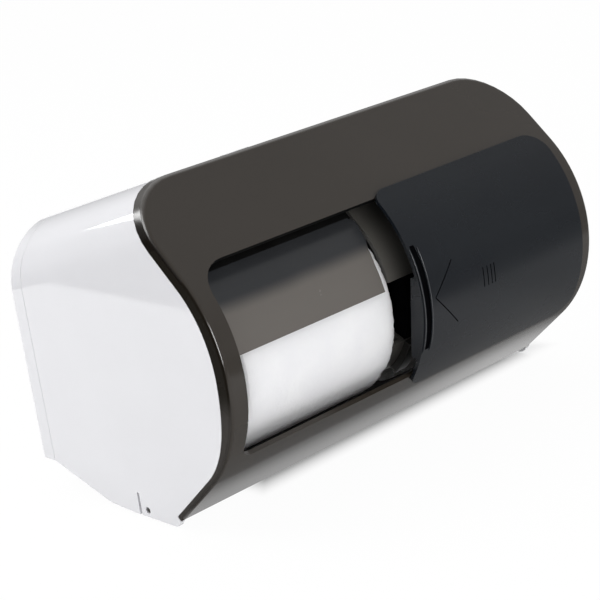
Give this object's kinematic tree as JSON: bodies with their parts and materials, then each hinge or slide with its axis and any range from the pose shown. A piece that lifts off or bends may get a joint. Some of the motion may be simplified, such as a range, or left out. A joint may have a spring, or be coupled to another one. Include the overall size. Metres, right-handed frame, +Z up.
{
  "type": "double roll toilet paper dispenser",
  "caption": "Wall-mounted double roll toilet paper dispenser with a hinged smoke cover, sliding door, lock and rolls.",
  "frame": {"origin": "middle of the back plate's wall face", "axes": "+X to the right along the width, +Y into the wall, +Z up"},
  "size_m": [0.305, 0.1895, 0.1925],
  "materials": {
    "white_plastic": "glossy white moulded plastic",
    "smoke_plastic": "glossy smoke brown translucent plastic",
    "charcoal_plastic": "satin charcoal plastic",
    "guard_plastic": "glossy smoke grey plastic",
    "dark_plastic": "dark moulded plastic",
    "arm_plastic": "pale grey moulded plastic",
    "steel": "plated steel",
    "paper": "soft white tissue",
    "card": "grey brown card"
  },
  "bodies": {
    "chassis": {"back_plate": "white_plastic", "centre_partition": "dark_plastic", "left_hinge_arm": "arm_plastic", "right_hinge_arm": "arm_plastic", "left_hinge_pin": "dark_plastic", "right_hinge_pin": "dark_plastic", "left_spindle": "dark_plastic", "right_spindle": "dark_plastic", "left_spindle_cap": "dark_plastic", "right_spindle_cap": "dark_plastic", "lock_catch": "arm_plastic", "left_arm_screw": "steel", "right_arm_screw": "steel", "partition_lower_screw": "steel", "partition_upper_screw": "steel"},
    "cover": {"housing": "white_plastic", "front_cover": "smoke_plastic", "lock_barrel": "steel", "lock_ring_nut": "steel", "left_roll_guard": "guard_plastic", "right_roll_guard": "guard_plastic", "left_guard_outer_screw": "steel", "left_guard_inner_screw": "steel", "right_guard_inner_screw": "steel", "right_guard_outer_screw": "steel"},
    "door": {"door_panel": "charcoal_plastic", "door_top_slider": "charcoal_plastic", "door_bottom_slider": "charcoal_plastic"},
    "lock": {"lock_plug": "steel", "lock_cam": "steel", "lock_cam_nut": "steel"},
    "left_roll": {"left_paper_roll": "paper", "left_roll_core": "card"},
    "right_roll": {"right_paper_roll": "paper", "right_roll_core": "card"}
  },
  "joints": [
    {"name": "cover_hinge", "type": "hinge", "parent": "chassis", "child": "cover", "pos_m": [0, -0.0966, -0.0838], "axis": [1, 0, 0], "range_deg": [0, 95]},
    {"name": "door_slide", "type": "slide", "parent": "cover", "child": "door", "axis": [-1, 0, 0], "range_m": [0, 0.131]},
    {"name": "lock_turn", "type": "hinge", "parent": "cover", "child": "lock", "pos_m": [0, -0.037, 0.08153], "axis": [0, -0.2737, -0.9618], "range_deg": [0, 90]},
    {"name": "left_roll_spin", "type": "hinge", "parent": "chassis", "child": "left_roll", "pos_m": [0, -0.109, -0.001], "axis": [1, 0, 0], "continuous": true},
    {"name": "right_roll_spin", "type": "hinge", "parent": "chassis", "child": "right_roll", "pos_m": [0, -0.109, -0.001], "axis": [1, 0, 0], "continuous": true}
  ]
}
